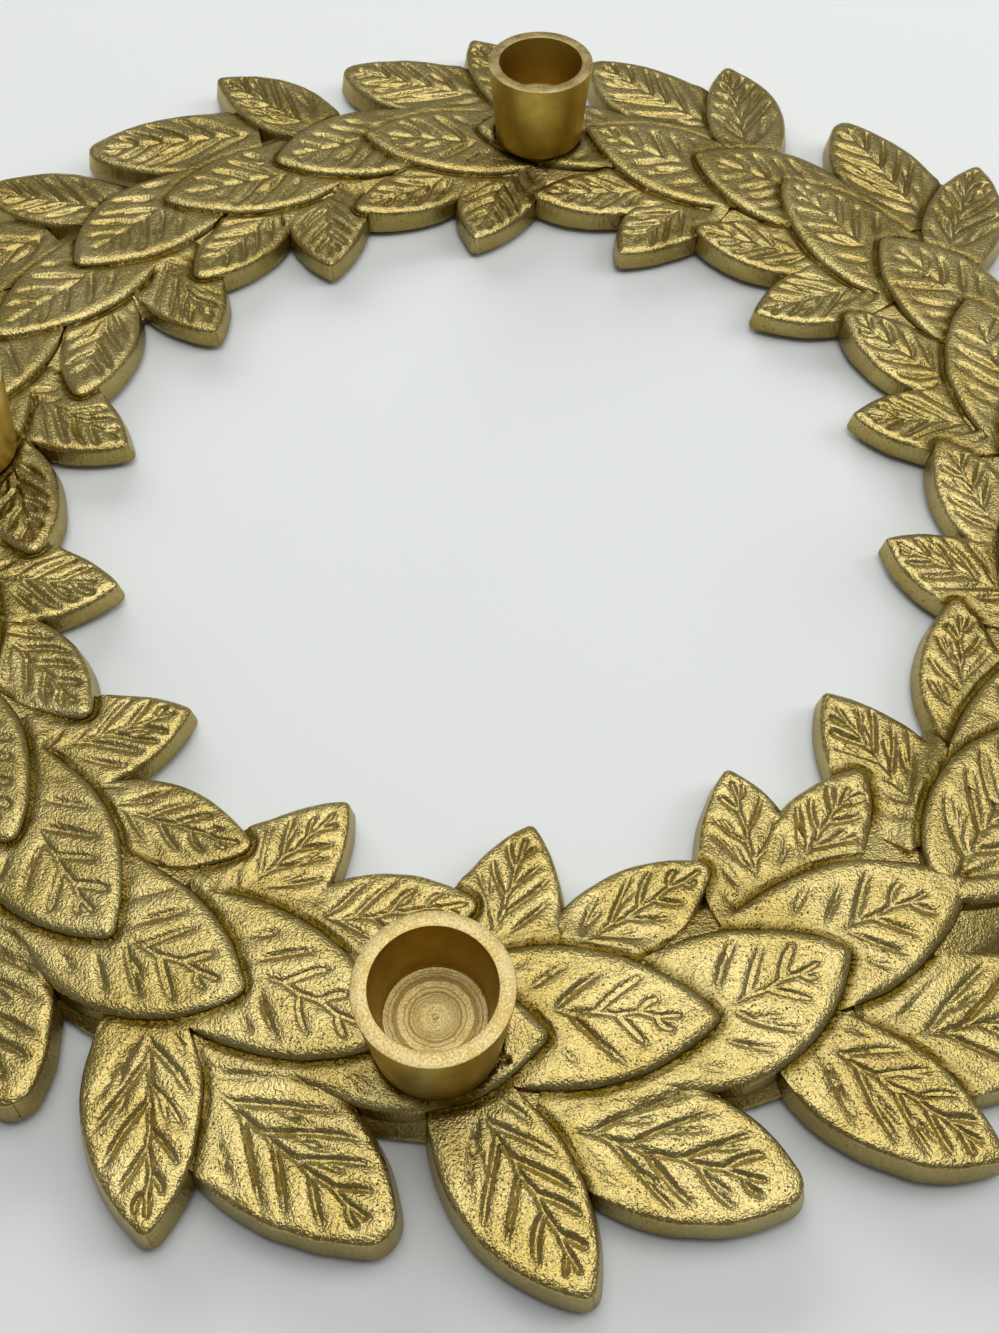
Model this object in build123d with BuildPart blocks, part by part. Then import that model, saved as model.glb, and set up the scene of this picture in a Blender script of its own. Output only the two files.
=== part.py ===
from build123d import *
from dataclasses import dataclass
from math import cos, radians, sin
import os

# A cast metal candle ring: a flat wreath of overlapping laurel leaves with four turned candle cups
# on top, each held by a screw from below. Millimetres, +Z up, the origin on the table plane at the
# middle of the wreath, +Y towards the back cup. Leaf tips all point anticlockwise seen from above.

# Casting
pad_thickness = 1.2
band_inner_radius = 111.0
band_outer_radius = 152.3
band_thickness = 4.4
draft_angle = 11.0
edge_bevel = 0.7
leaf_depth = 12.0
midrib_half_width = 0.8
midrib_depth = 0.7
midrib_overrun = 0.5
midrib_start_share = 0.28
midrib_run_share = 0.60
upward_face_share = 0.99

# Candle cups
cup_height = 23.0
cup_rim_radius = 14.25
cup_base_radius = 11.9
cup_foot_break = 0.8
socket_mouth_radius = 11.25
socket_floor_radius = 9.55
socket_depth = 13.2
seat_above_underside = 7.2
seat_clearance = 0.4

# Where the cups stand: set by hand near the middle of the band, each this far outside it
back_cup_offset = 0.4
left_cup_offset = -5.1
front_cup_offset = 3.4
right_cup_offset = 0.4
back_cup_angle = 90.0
left_cup_angle = 180.7
front_cup_angle = 270.0
right_cup_angle = 359.3

# Cup screws
screw_radius = 2.5
screw_length = 9.0
screw_hole_clearance = 0.3
thread_clearance = 0.05
thread_runout = 1.5
head_radius = 4.75
head_height = 3.2
recess_width = 1.3
recess_span = 5.2
recess_depth = 1.8
counterbore_clearance = 0.8
counterbore_depth = 4.6

# Felt pads
pad_radius = 6.0
pad_angles = {"rear_right": 40.0, "rear_left": 140.0, "front_left": 220.0, "front_right": 322.0}


@dataclass
class LeafSide:
    """One edge of a leaf, an arc from the root over the widest place to the tip."""

    width: float
    widest_share: float
    root_share: float


@dataclass
class LeafKind:
    """One kind of leaf. Its root stands on the band, root_place_share of the way across it from the
    inner edge, and from there it heads along the band, turned outwards by its heading."""

    length: float
    outer: LeafSide
    inner: LeafSide
    root_place_share: float
    heading: float
    root_height: float
    tip_height: float
    tip_round: float = 0.0


# Small leaves that point into the opening, and blunt ones that edge it
spike = LeafKind(
    length=40.0, outer=LeafSide(12.3, 0.32, 0.70), inner=LeafSide(11.0, 0.32, 0.70),
    root_place_share=0.395, heading=-74.1, root_height=5.0, tip_height=5.2,
)
inner_flat = LeafKind(
    length=41.0, outer=LeafSide(9.3, 0.54, 0.30), inner=LeafSide(9.2, 0.50, 0.30),
    root_place_share=0.23, heading=-28.6, root_height=4.4, tip_height=6.5, tip_round=2.5,
)
# Two scale leaves in turn along the middle of the band
scale_low = LeafKind(
    length=50.0, outer=LeafSide(14.3, 0.48, 0.25), inner=LeafSide(15.8, 0.36, 0.70),
    root_place_share=0.705, heading=-16.8, root_height=5.8, tip_height=7.9,
)
scale_high = LeafKind(
    length=51.0, outer=LeafSide(15.0, 0.34, 0.70), inner=LeafSide(13.6, 0.40, 0.60),
    root_place_share=0.43, heading=-1.8, root_height=5.8, tip_height=7.9,
)
# Tall leaves that point out of the wreath, and blunt ones between them
outer_tall = LeafKind(
    length=44.0, outer=LeafSide(12.8, 0.42, 0.55), inner=LeafSide(9.4, 0.46, 0.40),
    root_place_share=0.745, heading=56.2, root_height=6.0, tip_height=6.6,
)
outer_flat = LeafKind(
    length=50.0, outer=LeafSide(12.7, 0.34, 0.70), inner=LeafSide(14.4, 0.42, 0.60),
    root_place_share=0.97, heading=15.7, root_height=5.0, tip_height=6.6, tip_round=3.6,
)
# The leaf that opens the garland lies on the one that closes it: its pointed root shows
opening_leaf = LeafKind(
    length=52.0, outer=LeafSide(15.0, 0.50, 0.06), inner=LeafSide(14.0, 0.50, 0.06),
    root_place_share=0.625, heading=-14.1, root_height=7.6, tip_height=7.9,
)

# Where each kind's roots stand, in degrees anticlockwise from +X: the leaves were spaced by eye
leaf_places = (
    (spike, [
        13.9, 40.6, 66.8, 92.0, 117.4, 141.7, 169.2, 196.7, 221.6, 247.9, 272.2, 299.3, 318.4, 348.3,
    ]),
    (inner_flat, [
        354.1, 19.6, 46.1, 70.7, 97.2, 123.5, 150.2, 176.9, 202.5, 228.5, 253.4, 278.3, 299.9, 327.9,
    ]),
    (scale_low, [
        359.2, 24.7, 50.2, 76.8, 101.9, 129.9, 156.2, 182.7, 208.7, 233.6, 258.0, 283.5, 336.7,
    ]),
    (scale_high, [
        347.0, 11.0, 38.0, 62.5, 89.6, 115.1, 142.3, 168.7, 194.4, 220.6, 244.8, 270.4, 294.8, 324.2,
    ]),
    (outer_tall, [
        12.7, 38.8, 64.9, 89.8, 114.7, 140.4, 167.2, 194.2, 221.2, 247.7, 272.1, 296.8, 321.7, 346.8,
    ]),
    (outer_flat, [
        352.3, 17.9, 43.9, 69.7, 94.7, 121.9, 147.9, 174.7, 201.7, 228.7, 252.7, 277.2, 301.2, 326.5,
    ]),
    (opening_leaf, [
        313.4,
    ]),
)


def polar(reach, angle):
    """A point in plan, from its distance and its angle about the middle of the wreath."""
    return (reach * cos(radians(angle)), reach * sin(radians(angle)))


band_width = band_outer_radius - band_inner_radius
band_middle = band_inner_radius + band_width / 2
cup_places = {
    "back": polar(band_middle + back_cup_offset, back_cup_angle),
    "left": polar(band_middle + left_cup_offset, left_cup_angle),
    "front": polar(band_middle + front_cup_offset, front_cup_angle),
    "right": polar(band_middle + right_cup_offset, right_cup_angle),
}
underside = pad_thickness
seat_height = underside + seat_above_underside
counterbore_floor = underside + counterbore_depth
tapped_depth = counterbore_floor + screw_length - seat_height + thread_runout


def leaf_plane(kind):
    """A leaf's face with its root over +X: origin at the root, x to the tip, y to the inner side."""
    heading = radians(kind.heading)
    rise = (kind.tip_height - kind.root_height) / kind.length
    root_reach = band_inner_radius + band_width * kind.root_place_share
    x_dir = Vector(sin(heading), cos(heading), rise).normalized()
    y_dir = Vector(-cos(heading), sin(heading), 0)
    root = (root_reach, 0, underside + kind.root_height)
    return Plane(origin=root, x_dir=x_dir, z_dir=x_dir.cross(y_dir))


def leaf(kind):
    """One leaf with its root over +X: a pointed outline, a drafted wall, a bevelled edge and a midrib."""
    face_plane = leaf_plane(kind)
    outer, inner = kind.outer, kind.inner
    with BuildPart() as blank:
        with BuildSketch(face_plane) as outline:
            with BuildLine():
                outer_edge = ThreePointArc(
                    (0, -outer.width * outer.root_share),
                    (kind.length * outer.widest_share, -outer.width),
                    (kind.length, 0),
                )
                inner_edge = ThreePointArc(
                    (0, inner.width * inner.root_share),
                    (kind.length * inner.widest_share, inner.width),
                    (kind.length, 0),
                )
                Line(outer_edge @ 0, inner_edge @ 0)
            make_face()
            if kind.tip_round:
                fillet(outline.vertices().sort_by(Axis.X)[-1], radius=kind.tip_round)
        extrude(amount=-leaf_depth, taper=-draft_angle)
        upper = blank.faces().filter_by(lambda f: f.normal_at().dot(face_plane.z_dir) > upward_face_share)
        chamfer(upper.edges(), length=edge_bevel)
        rib_start = face_plane.from_local_coords((kind.length * midrib_start_share, 0, 0))
        with BuildSketch(Plane(origin=rib_start, x_dir=face_plane.y_dir, z_dir=face_plane.x_dir)):
            with BuildLine():
                Polyline(
                    (-midrib_half_width, midrib_overrun),
                    (0, -midrib_depth),
                    (midrib_half_width, midrib_overrun),
                    close=True,
                )
            make_face()
        extrude(amount=kind.length * midrib_run_share, mode=Mode.SUBTRACT)
    return blank.part


# The leaves of the casting: each kind is modelled once and turned to its places
leaves = []
for kind, tip_angles in leaf_places:
    pattern = leaf(kind)
    leaves += [pattern.rotate(Axis.Z, angle) for angle in tip_angles]

# The casting: a band, the leaves on it, a level seat for each cup and a counterbored hole beneath
with BuildPart() as wreath_casting:
    with BuildSketch(Plane.XY.offset(underside)):
        Circle(band_outer_radius)
        Circle(band_inner_radius, mode=Mode.SUBTRACT)
    extrude(amount=band_thickness)
    add(leaves)
    split(bisect_by=Plane.XY.offset(underside), keep=Keep.TOP)
    with BuildSketch(Plane.XY.offset(seat_height)):
        with Locations(*cup_places.values()):
            Circle(cup_base_radius + seat_clearance)
    extrude(amount=cup_height, mode=Mode.SUBTRACT)
    with Locations(*[Plane(origin=(x, y, underside), z_dir=(0, 0, -1)) for x, y in cup_places.values()]):
        CounterBoreHole(
            radius=screw_radius + screw_hole_clearance,
            counter_bore_radius=head_radius + counterbore_clearance,
            counter_bore_depth=counterbore_depth,
        )
wreath_casting.part.label = "wreath_casting"


def candle_cup(x, y):
    """A turned cup: a tapered body, a tapered socket and a tapped hole below."""
    socket_floor = cup_height - socket_depth
    with BuildPart() as cup:
        with BuildSketch(Plane(origin=(x, y, seat_height), x_dir=(1, 0, 0), z_dir=(0, -1, 0))) as profile:
            with BuildLine():
                Polyline(
                    (0, 0),
                    (cup_base_radius, 0),
                    (cup_rim_radius, cup_height),
                    (socket_mouth_radius, cup_height),
                    (socket_floor_radius, socket_floor),
                    (0, socket_floor),
                    close=True,
                )
            make_face()
            foot = profile.vertices().sort_by_distance((cup_base_radius, 0))[0]
            chamfer(foot, length=cup_foot_break)
        revolve(axis=Axis((x, y, 0), (0, 0, 1)))
        with Locations(Plane(origin=(x, y, seat_height), z_dir=(0, 0, -1))):
            Hole(radius=screw_radius + thread_clearance, depth=tapped_depth)
    return cup.part


def cup_screw(x, y):
    """A screw, head down in the counterbore, with a cross recess."""
    with BuildPart() as screw:
        with BuildSketch(Plane.XY.offset(counterbore_floor)):
            with Locations((x, y)):
                Circle(screw_radius)
        extrude(amount=screw_length)
        with BuildSketch(Plane.XY.offset(counterbore_floor)):
            with Locations((x, y)):
                Circle(head_radius)
        extrude(amount=-head_height)
        with BuildSketch(Plane.XY.offset(counterbore_floor - head_height)):
            with Locations((x, y)):
                Rectangle(recess_span, recess_width)
                Rectangle(recess_width, recess_span)
        extrude(amount=recess_depth, mode=Mode.SUBTRACT)
    return screw.part


def felt_pad(x, y):
    """A round felt pad stuck under the band."""
    with BuildPart() as pad:
        with BuildSketch():
            with Locations((x, y)):
                Circle(pad_radius)
        extrude(amount=pad_thickness)
    return pad.part


# Every piece is written to its own file
os.makedirs("parts", exist_ok=True)
pieces = [wreath_casting.part]
for side, (x, y) in cup_places.items():
    cup = candle_cup(x, y)
    cup.label = f"{side}_cup"
    screw = cup_screw(x, y)
    screw.label = f"{side}_cup_screw"
    pieces += [cup, screw]
for corner, angle in pad_angles.items():
    pad = felt_pad(*polar(band_middle, angle))
    pad.label = f"{corner}_pad"
    pieces.append(pad)
for piece in pieces:
    export_step(piece, f"parts/{piece.label}.step")
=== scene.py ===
import bpy
import random
import numpy as np
from math import cos, pi, radians, sin, tan
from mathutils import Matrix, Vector, noise
from types import SimpleNamespace


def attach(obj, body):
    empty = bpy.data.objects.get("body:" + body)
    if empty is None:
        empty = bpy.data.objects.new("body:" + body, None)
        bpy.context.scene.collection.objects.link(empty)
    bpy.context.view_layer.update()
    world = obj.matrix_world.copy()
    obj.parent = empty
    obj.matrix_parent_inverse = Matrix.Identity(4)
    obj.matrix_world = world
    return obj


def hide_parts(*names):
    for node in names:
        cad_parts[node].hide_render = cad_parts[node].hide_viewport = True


# A cast metal candle ring: a flat laurel wreath in antique gold, with four turned candle cups.
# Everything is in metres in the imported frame: +Z up, the table at z = 0, +Y towards the back cup.
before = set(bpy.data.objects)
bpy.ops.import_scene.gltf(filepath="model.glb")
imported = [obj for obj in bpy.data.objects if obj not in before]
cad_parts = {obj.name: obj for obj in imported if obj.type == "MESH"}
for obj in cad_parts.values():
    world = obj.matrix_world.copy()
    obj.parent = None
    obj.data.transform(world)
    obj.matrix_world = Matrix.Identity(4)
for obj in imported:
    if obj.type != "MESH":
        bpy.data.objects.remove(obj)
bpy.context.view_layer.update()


# ---------------------------------------------------------------------------------------------
# Band of the wreath. The leaves of the sand casting grow from one flat ring, whose underside is
# ground flat. Under each cup it has a counterbored hole for the screw that holds the cup.
# ---------------------------------------------------------------------------------------------
MM = 0.001
UNDERSIDE = 1.2 * MM
BAND_INNER = 111.0 * MM
BAND_OUTER = 152.3 * MM
BAND_TOP = 6.0 * MM
BAND_STEPS = 240
# Tarnish and painted shade on the band, which lies below the leaves
BAND_PATINA_AND_SHADE = 0.1
SEAT_TOP = 8.4 * MM
SEAT_RADIUS = 12.3 * MM
COUNTERBORE_RADIUS = 5.55 * MM
COUNTERBORE_TOP = 5.8 * MM
SCREW_HOLE_RADIUS = 2.8 * MM
DRILL_STEPS = 48
CUP_PLACES = {
    "back": (0.0, 0.13205),
    "left": (-0.12654, -0.00155),
    "front": (0.0, -0.13505),
    "right": (0.13204, -0.00161),
}


def deselect():
    """Leaves object mode with nothing selected."""
    if bpy.context.object and bpy.context.object.mode != "OBJECT":
        bpy.ops.object.mode_set(mode="OBJECT")
    bpy.ops.object.select_all(action="DESELECT")


def pick(*objects):
    """Selects these objects only, the first of them active."""
    deselect()
    for one in objects:
        one.select_set(True)
    bpy.context.view_layer.objects.active = objects[0]


def tidy_shell(piece):
    """Merges doubles and turns all faces outwards."""
    pick(piece)
    bpy.ops.object.mode_set(mode="EDIT")
    bpy.ops.mesh.select_all(action="SELECT")
    bpy.ops.mesh.remove_doubles(threshold=0.00001)
    bpy.ops.mesh.normals_make_consistent(inside=False)
    bpy.ops.object.mode_set(mode="OBJECT")


def lathe(name, profile, centre, steps):
    """A closed profile of (radius, height) turned about an upright axis."""
    mesh = bpy.data.meshes.new(name)
    rim = [(centre[0] + r, centre[1], z) for r, z in profile]
    mesh.from_pydata(rim, [(i, i + 1) for i in range(len(rim) - 1)], [])
    piece = bpy.data.objects.new(name, mesh)
    bpy.context.scene.collection.objects.link(piece)
    pick(piece)
    bpy.ops.object.mode_set(mode="EDIT")
    bpy.ops.mesh.select_all(action="SELECT")
    bpy.ops.mesh.spin(steps=steps, angle=2 * pi, center=(centre[0], centre[1], 0), axis=(0, 0, 1))
    tidy_shell(piece)
    return piece


def drill(centre):
    """The space of one counterbored hole, a little longer than the casting at both ends."""
    below = UNDERSIDE - 2 * MM
    above = SEAT_TOP + 4 * MM
    profile = [
        (0, below), (COUNTERBORE_RADIUS, below), (COUNTERBORE_RADIUS, COUNTERBORE_TOP),
        (SCREW_HOLE_RADIUS, COUNTERBORE_TOP), (SCREW_HOLE_RADIUS, above), (0, above),
    ]
    return lathe("drill", profile, centre, DRILL_STEPS)


def mark(piece, **traits):
    """Gives every vertex of the piece a number for each trait, which its material reads."""
    for trait, values in traits.items():
        piece.data.attributes.new(trait, "FLOAT", "POINT").data.foreach_set("value", values)


def cut(piece, tool):
    """Cuts the tool's space out of the piece."""
    pick(piece)
    cutting = piece.modifiers.new("cut", "BOOLEAN")
    cutting.operation = "DIFFERENCE"
    cutting.solver = "MANIFOLD"
    cutting.object = tool
    bpy.ops.object.modifier_apply(modifier=cutting.name)


drills = [drill(place) for place in CUP_PLACES.values()]


def paint_box(name):
    """A new material, with short ways to lay out its nodes. Work, tint and finish take a number, a
    colour or another node's output."""
    paint = bpy.data.materials.new(name)
    paint.use_nodes = True
    nodes, links = paint.node_tree.nodes, paint.node_tree.links
    place = nodes.new("ShaderNodeTexCoord").outputs["Object"]

    def feed(socket, value):
        if isinstance(value, bpy.types.NodeSocket):
            links.new(value, socket)
        else:
            socket.default_value = value

    def stretch(factors):
        step = nodes.new("ShaderNodeMapping")
        step.inputs["Scale"].default_value = factors
        links.new(place, step.inputs["Vector"])
        return step.outputs["Vector"]

    def grain(scale, detail=2.0, roughness=0.5, over=None, path=None):
        step = nodes.new("ShaderNodeTexNoise")
        step.inputs["Scale"].default_value = scale
        step.inputs["Detail"].default_value = detail
        step.inputs["Roughness"].default_value = roughness
        if path is None:
            links.new(over or place, step.inputs["Vector"])
        else:
            step.noise_dimensions = "1D"
            links.new(path, step.inputs["W"])
        return step.outputs["Fac"]

    def specks(scale):
        step = nodes.new("ShaderNodeTexVoronoi")
        step.inputs["Scale"].default_value = scale
        links.new(place, step.inputs["Vector"])
        return step.outputs["Distance"]

    def spread(value, low, high, to_low=0.0, to_high=1.0):
        step = nodes.new("ShaderNodeMapRange")
        ends = {"From Min": low, "From Max": high, "To Min": to_low, "To Max": to_high}
        for socket, number in ends.items():
            step.inputs[socket].default_value = number
        links.new(value, step.inputs["Value"])
        return step.outputs["Result"]

    def work(operation, first, second, clamp=False):
        step = nodes.new("ShaderNodeMath")
        step.operation = operation
        step.use_clamp = clamp
        feed(step.inputs[0], first)
        feed(step.inputs[1], second)
        return step.outputs["Value"]

    def tint(amount, under, over):
        step = nodes.new("ShaderNodeMix")
        step.data_type = "RGBA"
        feed(step.inputs[0], amount)
        feed(step.inputs[6], under)
        feed(step.inputs[7], over)
        return step.outputs[2]

    def trait(attribute):
        step = nodes.new("ShaderNodeAttribute")
        step.attribute_name = attribute
        return step.outputs["Fac"]

    def relief(height, distance, over=None):
        step = nodes.new("ShaderNodeBump")
        step.inputs["Strength"].default_value = 1.0
        step.inputs["Distance"].default_value = distance
        links.new(height, step.inputs["Height"])
        if over is not None:
            links.new(over, step.inputs["Normal"])
        return step.outputs["Normal"]

    def finish(**values):
        for socket, value in values.items():
            feed(nodes["Principled BSDF"].inputs[socket.replace("_", " ")], value)
        return paint

    return SimpleNamespace(
        stretch=stretch, grain=grain, specks=specks, spread=spread, work=work, tint=tint,
        trait=trait, relief=relief, finish=finish,
    )


def cast_gold():
    """Antique gold over sand-cast metal: pale on the tops of the lumps, partly wear and partly a
    painted highlight, with dark pores; brown tarnish in the veins, and tarnish with painted shade
    in every hollow and down the walls. The lumps of the sand are drawn out to upright streaks on
    the walls.
    The first trait is a vein's depth in millimetres on the faces, and on the walls a value that
    grows towards the foot; the second runs from 0 in the open to 1 in a corner."""
    fresh_gold, dull_gold = (0.56, 0.45, 0.175, 1), (0.45, 0.34, 0.1, 1)
    # Pale gold for the tops of the lumps: partly wear, partly a painted highlight
    rubbed_and_highlight_gold = (0.7, 0.61, 0.32, 1)
    pore_brown, patina_and_shade_brown = (0.24, 0.155, 0.025, 1), (0.15, 0.096, 0.008, 1)
    box = paint_box("cast_gold")
    groove, hollow = box.trait("groove"), box.trait("hollow")
    blotch = box.grain(60, 3, 0.55)
    patch = box.grain(170, 2)
    lumps = box.grain(1250, 2.0, 0.55, over=box.stretch((1, 1, 0.2)))
    sand = box.grain(2300, 1.0, 0.5)
    # Dark pores gather in the open sand and in the hollows, where they add painted shade
    pore_dirt_and_shade = box.work("ADD", box.spread(patch, 0.36, 0.6), hollow)
    open_sand = box.work("MULTIPLY", box.spread(sand, 0.42, 0.6), pore_dirt_and_shade)
    pores = box.work("MULTIPLY", box.spread(box.specks(1250), 0.3, 0.14), open_sand, clamp=True)
    # Brown in the hollows and down the walls is tarnish and painted shade; in the veins it is
    # tarnish
    in_hollows = box.work("MULTIPLY", hollow, box.spread(patch, 0.3, 0.65, 0.75, 1.15))
    patina_and_shade = box.work("ADD", in_hollows, box.work("MULTIPLY", groove, 0.26), clamp=True)
    gold = box.tint(box.spread(blotch, 0.38, 0.62), fresh_gold, dull_gold)
    # Pale on the tops of the lumps: wear, and a painted highlight
    gold = box.tint(box.spread(lumps, 0.52, 0.66, 0.0, 0.4), gold, rubbed_and_highlight_gold)
    gold = box.tint(box.work("MULTIPLY", pores, 0.85), gold, pore_brown)
    # The tarnish and painted shade darken the gold
    gold = box.tint(patina_and_shade, gold, patina_and_shade_brown)
    low = box.relief(lumps, 0.165 * MM)
    fine = box.relief(box.work("SUBTRACT", sand, pores), 0.14 * MM, over=low)
    dullness = box.work("ADD", lumps, box.work("MULTIPLY", patina_and_shade, 0.4))
    return box.finish(
        Base_Color=gold, Metallic=1.0, Roughness=box.spread(dullness, 0.3, 1.0, 0.25, 0.46),
        Normal=fine,
    )


CAST_GOLD = cast_gold()


def finish_casting(piece):
    """Gives a part of the wreath its finish, and sets it in place of the plain casting."""
    piece.data.materials.clear()
    piece.data.materials.append(CAST_GOLD)
    pick(piece)
    bpy.ops.object.shade_smooth_by_angle(angle=radians(40))
    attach(piece, "root")
    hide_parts("wreath_casting")


band_profile = [
    (BAND_INNER, UNDERSIDE), (BAND_OUTER - 0.3 * MM, UNDERSIDE), (BAND_OUTER, UNDERSIDE + 0.5 * MM),
    (BAND_OUTER - 0.4 * MM, UNDERSIDE + 1.4 * MM), (BAND_OUTER - 3.4 * MM, BAND_TOP - 1.2 * MM),
    (BAND_OUTER - 5.2 * MM, BAND_TOP), (BAND_INNER + 4.6 * MM, BAND_TOP),
    (BAND_INNER + 2.6 * MM, BAND_TOP - 1.2 * MM), (BAND_INNER, UNDERSIDE + 1.2 * MM),
    (BAND_INNER, UNDERSIDE),
]
band = lathe("wreath_band", band_profile, (0, 0), BAND_STEPS)
for tool in drills:
    cut(band, tool)
# All but the band's underside is darkened: tarnish and painted shade, as it lies below the leaves
band_patina_and_shade = [
    BAND_PATINA_AND_SHADE if vertex.co.z > UNDERSIDE + MM else 0.0 for vertex in band.data.vertices
]
mark(band, groove=band_patina_and_shade, hollow=band_patina_and_shade)
finish_casting(band)


# ---------------------------------------------------------------------------------------------
# Leaves of the wreath. They are cast in one with the band: six kinds in fourteen clusters, all
# pointing anticlockwise, each over the base of the next, and one opening leaf over the last.
# Veins are pressed into the faces, the walls widen downwards, and the feet are rounded.
# ---------------------------------------------------------------------------------------------
LEAF_ROWS = 100
ACROSS = np.array((
    0, 0.035, 0.07, 0.11, 0.155, 0.20, 0.25, 0.30, 0.35, 0.40, 0.45, 0.50, 0.55, 0.60, 0.65, 0.70,
    0.75, 0.80, 0.85, 0.895, 0.935, 0.97, 1,
))
# The draft that lets the pattern out of the sand
DRAFT = tan(radians(11))
# A small casting flaw in the leaf beside the front cup
PIT = (13.1, -138.6)
PIT_RADIUS, PIT_DEPTH = 0.75, 1.1
# Wall of a leaf, ring by ring: depth below the face, share of the rest of the way down, and how
# far the wall is drawn in or out there
WALL = np.array((
    (0, 0, 0), (0.35, 0, 0.06), (0.9, 0, 0.02), (1.6, 0, 0), (1.6, 0.4, 0), (1.6, 0.82, 0),
    (1.6, 0.94, -0.22), (1.6, 1, -0.75),
))
# How far a leaf's face swells towards its midrib, and between its strokes
CROWN, PILLOW = 0.12, 0.26
# Where a leaf passes under another: how far the lower face is drawn up, from how far off, how
# far it stays below the upper edge, and how deep the line between the two is pressed
DRAWN_UP, DRAWN_FROM, STEP_DOWN, LINE_DEPTH = 3.4, 6.5, 0.15, 0.4
# Two leaves, or a leaf and a screw hole, never meet with their middles further apart than this
LEAF_REACH, HOLE_REACH = 62, 34
# Shares of a leaf's length: its first vein, the last place for a pair, the last foot of one vein,
# and the end of the midrib
FIRST_VEIN, LAST_PAIR, LAST_FOOT, RIB_END = 0.06, 0.84, 0.82, 0.93
BISECTIONS = 30
# Leaves whose middle lies behind this line have closer, broader strokes and rounder edges
REAR_FROM = -90
# Sizes of a kind in millimetres and degrees. Each side of its outline is an arc given by its
# widest half width, the share of the length where that is, and the share of it at the root.
# The place is where it stands on the band, from 0 at the inner edge to 1 at the outer one.
LEAF_KINDS = {
    "spikes": dict(
        length=40.0, outer=(12.3, 0.32, 0.70), inner=(11.0, 0.32, 0.70), blunt=1.3,
        place=0.395, heading=-74.1, root_top=6.2, tip_top=6.4, bottom=1.21, roll=(1.2, 0.45),
        slant=36, pitch=6.6, margin=1.9, forks=0.4, short=1.4, vein=(0.9, 0.5), rib=(0.8, 0.4),
        angles=(13.9, 40.6, 66.8, 92.0, 117.4, 141.7, 169.2,
                196.7, 221.6, 247.9, 272.2, 299.3, 318.4, 348.3),
    ),
    "inner_flats": dict(
        length=41.0, outer=(9.3, 0.54, 0.30), inner=(9.2, 0.50, 0.30), blunt=3.0,
        place=0.23, heading=-28.6, root_top=5.6, tip_top=7.7, bottom=1.23, roll=(1.2, 0.45),
        slant=38, pitch=7.0, margin=2.1, forks=0.4, short=1.6, vein=(0.95, 0.5), rib=(0.8, 0.38),
        angles=(354.1, 19.6, 46.1, 70.7, 97.2, 123.5, 150.2,
                176.9, 202.5, 228.5, 253.4, 278.3, 299.9, 327.9),
    ),
    "low_scales": dict(
        length=50.0, outer=(14.3, 0.48, 0.25), inner=(15.8, 0.36, 0.70), blunt=1.8,
        place=0.705, heading=-16.8, root_top=7.0, tip_top=9.1, bottom=3.0, roll=(2.0, 0.75),
        slant=44, pitch=8.0, margin=3.0, forks=0.15, short=3.0, vein=(1.15, 0.52), rib=(0.85, 0.35),
        angles=(359.2, 24.7, 50.2, 76.8, 101.9, 129.9, 156.2,
                182.7, 208.7, 233.6, 258.0, 283.5, 336.7),
    ),
    "high_scales": dict(
        length=51.0, outer=(15.0, 0.34, 0.70), inner=(13.6, 0.40, 0.60), blunt=1.8,
        place=0.43, heading=-1.8, root_top=7.0, tip_top=9.1, bottom=3.1, roll=(2.0, 0.75),
        slant=44, pitch=8.0, margin=3.0, forks=0.15, short=3.0, vein=(1.15, 0.52), rib=(0.85, 0.35),
        angles=(347.0, 11.0, 38.0, 62.5, 89.6, 115.1, 142.3,
                168.7, 194.4, 220.6, 244.8, 270.4, 294.8, 324.2),
    ),
    "outer_talls": dict(
        length=44.0, outer=(12.8, 0.42, 0.55), inner=(9.4, 0.46, 0.40), blunt=2.0,
        place=0.745, heading=56.2, root_top=7.2, tip_top=7.8, bottom=1.25, roll=(1.2, 0.45),
        slant=36, pitch=7.2, margin=2.1, forks=0.4, short=1.6, vein=(0.95, 0.58), rib=(0.85, 0.48),
        angles=(12.7, 38.8, 64.9, 89.8, 114.7, 140.4, 167.2,
                194.2, 221.2, 247.7, 272.1, 296.8, 321.7, 346.8),
    ),
    "outer_flats": dict(
        length=50.0, outer=(12.7, 0.34, 0.70), inner=(14.4, 0.42, 0.60), blunt=5.0,
        place=0.97, heading=15.7, root_top=6.2, tip_top=7.8, bottom=1.27, roll=(1.2, 0.45),
        slant=36, pitch=7.8, margin=2.3, forks=0.4, short=1.8, vein=(0.95, 0.58), rib=(0.85, 0.45),
        angles=(352.3, 17.9, 43.9, 69.7, 94.7, 121.9, 147.9,
                174.7, 201.7, 228.7, 252.7, 277.2, 301.2, 326.5),
    ),
    "opening_leaf": dict(
        length=52.0, outer=(15.0, 0.50, 0.06), inner=(14.0, 0.50, 0.06), blunt=1.8,
        place=0.625, heading=-14.1, root_top=8.8, tip_top=9.1, bottom=3.2, roll=(2.0, 0.75),
        slant=42, pitch=8.0, margin=3.2, forks=0.15, short=2.4, vein=(1.1, 0.52), rib=(0.85, 0.35),
        angles=(313.4,),
    ),
}


def soft(value):
    """0 below 0 and 1 above 1, with a soft rise between."""
    value = np.clip(value, 0, 1)
    return value * value * (3 - 2 * value)


def edge_circle(length, width, widest, root):
    """Middle and radius of the arc from a leaf's root over its widest place to its tip."""
    points = np.array(((0, width * root), (length * widest, width), (length, 0)))
    sides = 2 * (points[1:] - points[0])
    sums = (points[1:] ** 2).sum(axis=1) - (points[0] ** 2).sum()
    middle = np.linalg.solve(sides, sums)
    return middle, np.hypot(*(points[0] - middle))


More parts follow.
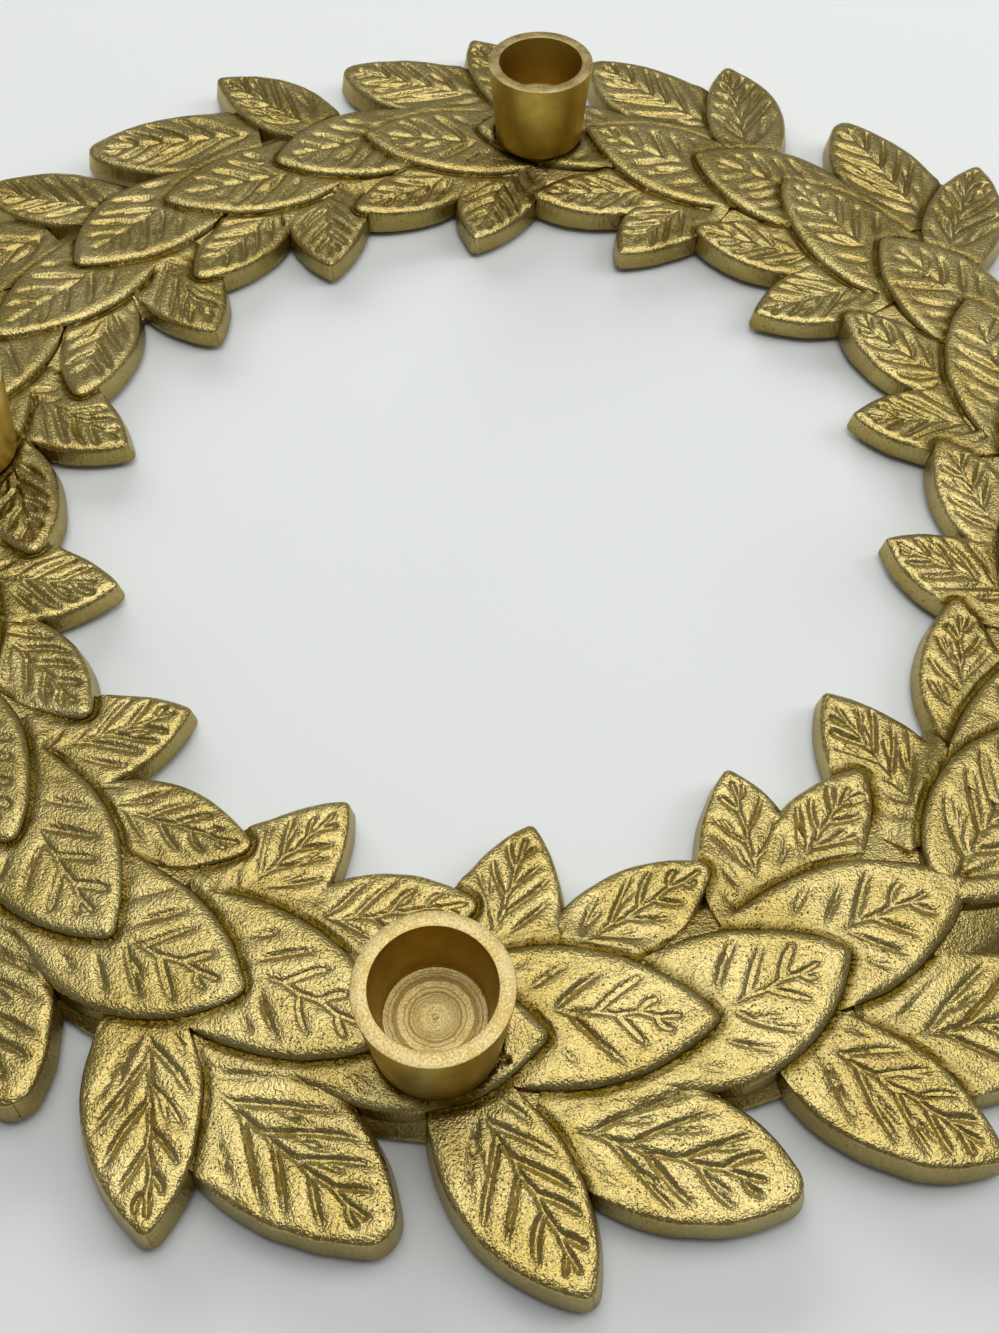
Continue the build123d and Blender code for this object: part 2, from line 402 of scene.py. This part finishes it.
def from_edge(kind, x, y):
    """Distance to a leaf's outline, below 0 inside it, for points in the leaf's own plan."""
    (ox, oy), outer_radius = edge_circle(kind["length"], *kind["outer"])
    (ix, iy), inner_radius = edge_circle(kind["length"], *kind["inner"])
    round_off = kind["blunt"]
    outer = np.hypot(x - ox, y + oy) - outer_radius + round_off
    inner = np.hypot(x - ix, y - iy) - inner_radius + round_off
    outside = np.hypot(np.maximum(outer, 0), np.maximum(inner, 0))
    return outside + np.minimum(np.maximum(outer, inner), 0) - round_off


def face_height(kind, x):
    """Height of a leaf's plain face above the table, without its relief."""
    return kind["root_top"] + (kind["tip_top"] - kind["root_top"]) * x / kind["length"]


def leaf_frame(kind, angle):
    """Root of a leaf in plan, and its directions to the tip and to the inner side."""
    heading, turn = radians(kind["heading"]), radians(angle)
    reach = BAND_INNER / MM + (BAND_OUTER - BAND_INNER) / MM * kind["place"]
    spin = np.array(((cos(turn), -sin(turn)), (sin(turn), cos(turn))))
    root = spin @ (reach, 0)
    return root, spin @ (sin(heading), cos(heading)), spin @ (-cos(heading), sin(heading))


def rows_of(kind):
    """Plan of a leaf's face: rows that follow its veins from the midrib to both edges, and lie
    square across the leaf at its root."""
    slant = radians(kind["slant"])
    low, high = kind["length"] * 0.5, kind["length"]
    for _ in range(BISECTIONS):
        middle = (low + high) / 2
        low, high = (middle, high) if from_edge(kind, middle, 0.0) < 0 else (low, middle)
    start = (low - 0.2) * np.linspace(0, 1, LEAF_ROWS + 1)
    slope = slant + (pi / 2 - slant) * (1 - soft(start / kind["length"] / 0.22))
    columns = np.arange(1 - len(ACROSS), len(ACROSS))
    side = np.where(columns < 0, -1, 1)
    near = np.zeros((len(start), len(columns)))
    far = near + 40
    for _ in range(BISECTIONS):
        middle = (near + far) / 2
        inside = from_edge(kind, start[:, None] + middle * np.cos(slope)[:, None],
                           side * middle * np.sin(slope)[:, None]) < 0
        near, far = np.where(inside, middle, near), np.where(inside, far, middle)
    run = near * ACROSS[np.abs(columns)]
    return start[:, None] + run * np.cos(slope)[:, None], side * run * np.sin(slope)[:, None]


def edge_roll(leaf, inset):
    """How far a leaf's face has dropped in the rounding of its edge, this far inside the edge."""
    reach, drop = leaf["roll"]
    return drop * (1 - np.sqrt(1 - (1 - np.clip(inset / reach, 0, 1)) ** 2))


def stroke(x, y, start, end, bend):
    """Distance of these points from one bowed stroke, how far along it they lie, and its length."""
    run = np.hypot(end[0] - start[0], end[1] - start[1])
    ux, uy = (end[0] - start[0]) / run, (end[1] - start[1]) / run
    along = (x - start[0]) * ux + (y - start[1]) * uy
    share = np.clip(along / run, 0, 1)
    off = (y - start[1]) * ux - (x - start[0]) * uy - bend * 4 * share * (1 - share)
    past = np.maximum(np.maximum(-along, along - run), 0)
    return np.hypot(off, past), along, run


def engrave(kind, x, y, chance):
    """Depth of all strokes pressed into one leaf, and how far each point is from the nearest of
    them. A stroke is its start, end, bow, half width, depth, and the runs in which it sets in and
    fades out."""
    half_width, deep = kind["vein"]
    rib_width, rib_deep = kind["rib"]
    length, pitch = kind["length"], kind["pitch"]
    strokes = []
    rib = [(length * FIRST_VEIN, 0.0)]
    place = length * FIRST_VEIN
    while place < length * LAST_PAIR:
        for side in (-1, 1):
            foot = place + (pitch * 0.42 if side < 0 else 0) + chance.uniform(-0.4, 0.4)
            slope = radians(kind["slant"] + chance.uniform(-4, 4))
            way = cos(slope), side * sin(slope)
            reach = 1.0
            while from_edge(kind, foot + reach * way[0], reach * way[1]) < -kind["margin"]:
                reach += 0.25
            gap = chance.uniform(0.0, 0.7)
            reach -= chance.uniform(0, kind["short"])
            if reach - gap < 2.0 or foot > length * LAST_FOOT:
                continue
            strokes.append((
                (foot + gap * way[0], gap * way[1]),
                (foot + reach * way[0], reach * way[1]),
                side * chance.uniform(0.0, 0.7), half_width * chance.uniform(0.75, 1.25),
                deep * chance.uniform(0.75, 1.15), 0.8, reach * chance.uniform(0.3, 0.6),
            ))
            rib.append((foot, side * chance.uniform(0.1, 0.4)))
            if chance.random() < kind["forks"] and reach > 6 and foot < length * 0.6:
                split = reach * chance.uniform(0.3, 0.5)
                turn = slope - radians(chance.uniform(16, 26))
                fork = (foot + split * way[0], split * way[1])
                arm = chance.uniform(0.3, 0.45) * reach
                strokes.append((
                    fork, (fork[0] + arm * cos(turn), fork[1] + side * arm * sin(turn)),
                    0.0, half_width * 0.8, deep * 0.7, 0.6, arm * 0.5,
                ))
        place += pitch * chance.uniform(0.9, 1.1)
    rib.sort()
    rib.append((min(rib[-1][0] + 4, length * RIB_END), 0.0))
    for first, second in zip(rib, rib[1:]):
        if second[0] - first[0] > 0.4:
            strokes.append((first, second, 0.0, rib_width, rib_deep, 0.1, 0.1))
    depth = np.zeros_like(x)
    clear = np.full_like(x, 9.0)
    for start, end, bend, width, bottom, lead_in, lead_out in strokes:
        beside, along, run = stroke(x, y, start, end, bend)
        setting_in = np.clip((along + width) / (lead_in + width), 0, 1)
        strength = setting_in * np.clip((run + width - along) / lead_out, 0, 1) ** 0.6
        narrowed = width * (0.55 + 0.45 * strength)
        depth = np.maximum(depth, bottom * strength * soft(1 - beside / narrowed))
        clear = np.minimum(clear, beside)
    return depth, clear


def model_leaf(name, kind, number):
    """One leaf in place on the band. A grid is laid out in rows that follow the veins, its outer
    rings are turned down for the wall, and the strokes are pressed into its face."""
    chance = random.Random(number)
    rings = len(WALL) - 1
    columns = len(ACROSS) - 1
    deselect()
    bpy.ops.mesh.primitive_grid_add(
        x_subdivisions=LEAF_ROWS + 2 * rings, y_subdivisions=2 * (columns + rings), size=2,
    )
    leaf = bpy.context.object
    leaf.name = name
    flat = np.zeros(len(leaf.data.vertices) * 3)
    leaf.data.vertices.foreach_get("co", flat)
    flat = flat.reshape(-1, 3)
    row = np.rint((flat[:, 0] + 1) / 2 * (LEAF_ROWS + 2 * rings)).astype(int) - rings
    column = np.rint(flat[:, 1] * (columns + rings)).astype(int)
    ring = np.maximum.reduce([-row, row - LEAF_ROWS, np.abs(column) - columns, 0 * row])
    row = np.clip(row, 0, LEAF_ROWS)
    column = np.clip(column, -columns, columns)
    xs, ys = rows_of(kind)
    x, y = xs[row, column + columns], ys[row, column + columns]

    # The way out of the leaf at each place of its edge
    step = 0.05
    out_x = from_edge(kind, x + step, y) - from_edge(kind, x - step, y)
    out_y = from_edge(kind, x, y + step) - from_edge(kind, x, y - step)
    at_root = (row == 0) & (np.abs(column) < columns)
    out_x, out_y = np.where(at_root, -1.0, out_x), np.where(at_root, 0.0, out_y)
    size = np.maximum(np.hypot(out_x, out_y), 1e-9)
    inset = -from_edge(kind, x, y)
    depth, clear = engrave(kind, x, y, chance)
    pillow = PILLOW * soft(clear / 2.0) * soft(inset / 2.4)
    crown = CROWN * (1 - ACROSS[np.abs(column)] ** 2)
    z = face_height(kind, x) + crown + pillow - depth - edge_roll(kind, inset)
    fixed, share, drawn = WALL[ring].T
    fall = fixed + (z - kind["bottom"] - fixed) * share
    spread = fall * DRAFT + drawn
    x, y, z = x + out_x / size * spread, y + out_y / size * spread, z - fall
    # On the walls the value grows towards the foot, which paints shade there besides tarnish; on
    # the face it is the veins' depth
    groove = np.where(ring > 0, 0.95 + 1.1 * share, depth)

    # In place on the band, drawn up to the leaves that lie over it, with tarnish and painted shade
    # beside them and on the walls under them
    root, to_tip, to_inner = leaf_frame(kind, kind["angle"])
    plan = root + x[:, None] * to_tip + y[:, None] * to_inner
    hollow = np.zeros_like(x)
    for other in all_leaves:
        if other is kind or np.hypot(*(other["middle"] - kind["middle"])) > LEAF_REACH:
            continue
        other_root, other_tip, other_inner = leaf_frame(other, other["angle"])
        ox, oy = (plan - other_root) @ other_tip, (plan - other_root) @ other_inner
        above = face_height(other, ox) - z
        from_other = from_edge(other, ox, oy)
        from_outline = np.maximum(from_other, -ox)
        beside = from_outline - above * DRAFT
        # Tarnish and painted shade along the line where another leaf lies over this one
        near = soft(above / 0.7) * (ring == 0)
        close, wide = soft(1.3 - beside / 1.5), 0.25 * soft(1.1 - beside / 4.5)
        hollow = np.maximum(hollow, near * (beside > -0.8) * np.maximum(close, wide))
        off = np.clip(1 - np.maximum(beside, 0) / DRAWN_FROM, 0, 1)
        ramp = 0.95 * np.minimum(above, DRAWN_UP) * off ** 1.6
        room = np.maximum(above - edge_roll(other, -from_other) - STEP_DOWN, 0)
        line = LINE_DEPTH * soft(1.3 - np.abs(beside - 0.3) / 0.9)
        z = z + near * np.minimum(ramp, room) - near * line
        # Painted shade, with tarnish, on the walls that stand under or beside another leaf's face
        on_wall = (ring > 0) * (from_outline < 0.5)
        hollow = np.maximum(hollow, on_wall * soft(1.3 + above / 2.2) * (above > -2.8))

    # The cups' flat seats with a painted shadow line round each foot, and the casting flaw,
    # darkened inside with tarnish and painted shade
    seat = np.zeros(len(x), bool)
    for cup_x, cup_y in CUP_PLACES.values():
        from_axis = np.hypot(plan[:, 0] - cup_x / MM, plan[:, 1] - cup_y / MM)
        seat |= (z > SEAT_TOP / MM) & (from_axis < SEAT_RADIUS / MM)
        # A painted shadow line round the foot of each cup
        hollow = np.maximum(hollow, (ring == 0) * soft(1.2 - (from_axis - 12.0) / 1.3))
    z = np.where(seat, SEAT_TOP / MM, z)
    pit = soft(1.4 - np.hypot(plan[:, 0] - PIT[0], plan[:, 1] - PIT[1]) / PIT_RADIUS) * (ring == 0)
    # The flaw's inside is darkened: tarnish and painted shade
    z, hollow = z - PIT_DEPTH * pit, np.maximum(hollow, pit)

    # The pattern's small unevenness, the same for all leaves so that they still fit together
    co = []
    for px, py, pz in zip(plan[:, 0], plan[:, 1], z):
        spot = Vector((px, py, 0))
        wave = noise.noise_vector(spot / 15) * 0.45 + noise.noise_vector(spot / 5) * 0.18
        bumps = wave.z * 0.6 + noise.noise(spot / 1.3) * 0.03 + noise.noise(spot / 3.4) * 0.1
        lift = bumps * (pz - kind["bottom"]) / 7
        co.append(((px + wave.x) * MM, (py + wave.y) * MM, (pz + lift) * MM))
    leaf.data.vertices.foreach_set("co", np.array(co).ravel())
    mark(leaf, groove=groove, hollow=hollow)

    # Closed below, turned outwards, and drilled where a cup's screw comes through
    bpy.ops.object.mode_set(mode="EDIT")
    bpy.ops.mesh.select_all(action="SELECT")
    bpy.ops.mesh.remove_doubles(threshold=0.000001)
    bpy.ops.mesh.select_all(action="DESELECT")
    bpy.ops.mesh.select_mode(type="EDGE")
    bpy.ops.mesh.select_non_manifold()
    bpy.ops.mesh.edge_face_add()
    bpy.ops.mesh.select_all(action="SELECT")
    bpy.ops.mesh.normals_make_consistent(inside=False)
    bpy.ops.object.mode_set(mode="OBJECT")
    for tool, (cup_x, cup_y) in zip(drills, CUP_PLACES.values()):
        if np.hypot(kind["middle"][0] - cup_x / MM, kind["middle"][1] - cup_y / MM) < HOLE_REACH:
            cut(leaf, tool)
    return leaf


# Every leaf differs a little in width, and one beside the front cup is narrower than its kind.
# The seeds keep the widths and the pattern's unevenness the same at every run.
WIDTH_SEED, UNEVENNESS_SEED = 14, 5
noise.seed_set(UNEVENNESS_SEED)
all_leaves = []
widths = random.Random(WIDTH_SEED)
for name, kind in LEAF_KINDS.items():
    for angle in kind["angles"]:
        leaf = dict(kind, name=name, angle=angle)
        for side in ("outer", "inner"):
            leaf[side] = (kind[side][0] * widths.uniform(0.97, 1.0),) + kind[side][1:]
        if (name, angle) == ("outer_flats", 277.2):
            leaf.update(outer=(11.2, 0.5, 0.3), place=0.92, heading=17.9)
        root, to_tip, to_inner = leaf_frame(leaf, angle)
        leaf["middle"] = root + to_tip * kind["length"] / 2
        if leaf["middle"][1] > REAR_FROM:
            leaf["pitch"] = 0.9 * kind["pitch"]
            leaf["vein"] = (1.35 * kind["vein"][0], 1.3 * kind["vein"][1])
            leaf["roll"] = (2.0, 0.85)
        all_leaves.append(leaf)
for name in LEAF_KINDS:
    row = [
        model_leaf(name, leaf, number) for number, leaf in enumerate(all_leaves)
        if leaf["name"] == name
    ]
    pick(*row)
    if len(row) > 1:
        bpy.ops.object.join()
    row[0].name = name
    finish_casting(row[0])
for tool in drills:
    bpy.data.objects.remove(tool)


# ---------------------------------------------------------------------------------------------
# Candle cups. Each is turned from bar: a cup that widens upwards, a tapered socket for a candle
# with the lathe's centre mark on its floor, and a tapped hole below for its screw.
# ---------------------------------------------------------------------------------------------
# Radius and height above the seat in millimetres, from the centre mark over the rim to the foot
CUP_PROFILE = (
    (0, 9.35), (0.7, 9.8), (2.5, 9.8), (5.0, 9.8), (7.5, 9.8), (8.9, 9.8), (9.25, 9.9), (9.5, 10.2),
    (9.62, 10.6), (11.24, 22.85), (11.30, 22.96), (11.42, 23.0), (14.02, 23.0), (14.16, 22.95),
    (14.22, 22.8), (11.98, 1.0), (11.85, 0.5), (11.45, 0.12), (11.0, 0), (2.55, 0), (2.55, 7.9),
    (0, 8.8),
)
CUP_STEPS = 96


def turned_gold():
    """Satin antique gold with the rings that the lathe left, scuffed on the rim and the floor."""
    fresh_gold, dull_gold = (0.58, 0.41, 0.09, 1), (0.5, 0.34, 0.06, 1)
    worn_gold, bare_gold = (0.5, 0.365, 0.12, 1), (0.8, 0.66, 0.33, 1)
    ring_brown = (0.24, 0.15, 0.035, 1)
    box = paint_box("turned_gold")
    lathe_path, worn = box.trait("lathe_path"), box.trait("worn")
    chatter = box.work("ADD", lathe_path, box.spread(box.grain(520, 2.0), 0.2, 0.8, -0.2, 0.2))
    rings = box.grain(0.75, 2.0, 0.6, path=chatter)
    fine_rings = box.grain(3.2, 2.0, 0.6, path=chatter)
    sand = box.grain(2200, 2.0)
    blotch = box.grain(190, 3.0, 0.6)
    fine_rings = box.work("MULTIPLY", fine_rings, 0.3)
    turned = box.work("ADD", box.work("MULTIPLY", rings, 0.7), fine_rings)
    gold = box.tint(box.spread(blotch, 0.35, 0.65), fresh_gold, dull_gold)
    scuffs = box.spread(box.work("ADD", sand, blotch), 0.85, 1.15)
    gold = box.tint(worn, gold, box.tint(scuffs, worn_gold, bare_gold))
    ringed = box.trait("ringed")
    marks = box.work("MULTIPLY", box.spread(turned, 0.55, 0.42, 0.0, 0.8), ringed)
    gold = box.tint(marks, gold, ring_brown)
    height = box.work("ADD", box.work("MULTIPLY", turned, ringed), box.work("MULTIPLY", sand, 0.12))
    dullness = box.work("ADD", blotch, box.work("MULTIPLY", worn, 0.3))
    return box.finish(
        Base_Color=gold, Metallic=1.0, Roughness=box.spread(dullness, 0.3, 1.0, 0.34, 0.58),
        Normal=box.relief(height, 0.3 * MM),
    )


TURNED_GOLD = turned_gold()
for side, (x, y) in CUP_PLACES.items():
    profile = [(r * MM, SEAT_TOP + z * MM) for r, z in CUP_PROFILE]
    cup = lathe(side + "_candle_cup", profile, (x, y), CUP_STEPS)
    # The lathe's path along the profile in millimetres, how strongly its rings show, and where the
    # cup is scuffed: on its rim and its socket floor
    path, worn, ringed = [], [], []
    for vertex in cup.data.vertices:
        radius = np.hypot(vertex.co.x - x, vertex.co.y - y) / MM
        height = (vertex.co.z - SEAT_TOP) / MM
        on_rim, on_floor = height > 22.9 and radius > 11.35, 9.2 < height < 9.95
        path.append(radius if height < 10 else 50 + height)
        ringed.append(1.0 if 9 < height < 10 else 0.0 if height > 22.7 else 0.15)
        worn.append(1.0 if on_rim or on_floor else 0.0)
    mark(cup, lathe_path=path, ringed=ringed, worn=worn)
    cup.data.materials.append(TURNED_GOLD)
    pick(cup)
    bpy.ops.object.shade_smooth_by_angle(angle=radians(30))
    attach(cup, "root")
    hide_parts(side + "_cup")


# ---------------------------------------------------------------------------------------------
# Cup screws and felt pads: pan-head screws of zinc-plated steel in the counterbores, and four
# round pads of dark felt stuck under the band. Both keep the plain model's own shapes.
# ---------------------------------------------------------------------------------------------
def zinc_plate():
    """Bright zinc on steel, with a faint cloudy bloom and fine scratches round the head."""
    box = paint_box("screw_steel")
    bloom = box.grain(700, 4.0, 0.6)
    scratches = box.grain(5200, 2.0)
    zinc = box.tint(box.spread(bloom, 0.35, 0.65), (0.66, 0.66, 0.64, 1), (0.5, 0.51, 0.52, 1))
    return box.finish(
        Base_Color=zinc, Metallic=1.0, Roughness=box.spread(bloom, 0.3, 0.7, 0.22, 0.42),
        Normal=box.relief(scratches, 0.03 * MM),
    )


def felt():
    """Dark pressed wool: short fibres that lie every way, in brown and near black."""
    box = paint_box("felt")
    fibres = box.grain(1900, 4.0, 0.7)
    mats = box.grain(420, 2.0)
    wool = box.tint(box.spread(fibres, 0.38, 0.64), (0.024, 0.02, 0.017, 1), (0.1, 0.083, 0.066, 1))
    wool = box.tint(box.spread(mats, 0.4, 0.65, 0.0, 0.5), wool, (0.045, 0.035, 0.028, 1))
    return box.finish(
        Base_Color=wool, Normal=box.relief(fibres, 0.25 * MM), Roughness=0.95, Sheen_Weight=0.3,
        Sheen_Roughness=0.5,
    )


STEEL, FELT = zinc_plate(), felt()
for name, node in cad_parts.items():
    for ending, paint in (("_screw", STEEL), ("_pad", FELT)):
        if name.endswith(ending):
            node.data.materials.clear()
            node.data.materials.append(paint)


# ---------------------------------------------------------------------------------------------
# Studio: a pale matt floor, soft lamps above, behind and at the right, a sky a little brighter
# behind than in front, and the camera in front, looking down.
# ---------------------------------------------------------------------------------------------
FLOOR_SIZE = 6
FLOOR_COLOUR = (0.7, 0.722, 0.706, 1)
SKY_FRONT, SKY_REAR = 0.155, 0.27
deselect()
bpy.ops.mesh.primitive_plane_add(size=FLOOR_SIZE)
floor = bpy.context.object
floor.name = "floor"
floor_paint = bpy.data.materials.new("floor_paint")
floor_paint.use_nodes = True
floor_shader = floor_paint.node_tree.nodes["Principled BSDF"]
floor_shader.inputs["Base Color"].default_value = FLOOR_COLOUR
floor_shader.inputs["Roughness"].default_value = 0.7
floor.data.materials.append(floor_paint)

world = bpy.data.worlds.new("studio")
bpy.context.scene.world = world
world.use_nodes = True
sky, sky_links = world.node_tree.nodes, world.node_tree.links
way = sky.new("ShaderNodeSeparateXYZ")
sky_links.new(sky.new("ShaderNodeTexCoord").outputs["Generated"], way.inputs["Vector"])
rearwards = sky.new("ShaderNodeMapRange")
sky_ends = {"From Min": -0.6, "From Max": 0.8, "To Min": SKY_FRONT, "To Max": SKY_REAR}
for socket, number in sky_ends.items():
    rearwards.inputs[socket].default_value = number
sky_links.new(way.outputs["Y"], rearwards.inputs["Value"])
sky["Background"].inputs["Color"].default_value = (1.0, 1.0, 1.0, 1)
sky_links.new(rearwards.outputs["Result"], sky["Background"].inputs["Strength"])


def soft_lamp(name, place, size, power):
    """A large soft lamp that shines from its place towards the middle of the ring."""
    lamp = bpy.data.lights.new(name, "AREA")
    lamp.shape = "RECTANGLE"
    lamp.size, lamp.size_y = size
    lamp.energy = power
    holder = bpy.data.objects.new(name, lamp)
    holder.location = place
    holder.rotation_euler = (-Vector(place)).to_track_quat("-Z", "Y").to_euler()
    bpy.context.scene.collection.objects.link(holder)


soft_lamp("ceiling_light", (0.04, 0.15, 1.05), (1.0, 0.9), 6.3)
soft_lamp("rear_light", (-0.8, 2.1, 0.75), (2.6, 0.8), 58.0)
soft_lamp("side_light", (1.3, 0.4, 0.9), (0.9, 0.9), 9.0)
# The low lamps are there for the floor's light and shadows: their glare is kept off the metal
for name in ("rear_light", "side_light"):
    bpy.data.objects[name].visible_glossy = False

# The camera's lens, place and turn are fitted to the rims, floors and feet of the cups
camera_data = bpy.data.cameras.new("camera")
camera_data.lens = 40.161
camera_data.sensor_width = 36
camera_data.clip_start = 0.01
camera = bpy.data.objects.new("camera", camera_data)
camera.location = (0.01836, -0.23296, 0.26917)
camera.rotation_euler = (radians(34.795), radians(-0.286), radians(4.820))
bpy.context.scene.collection.objects.link(camera)
bpy.context.scene.camera = camera
bpy.context.scene.view_settings.view_transform = "Standard"
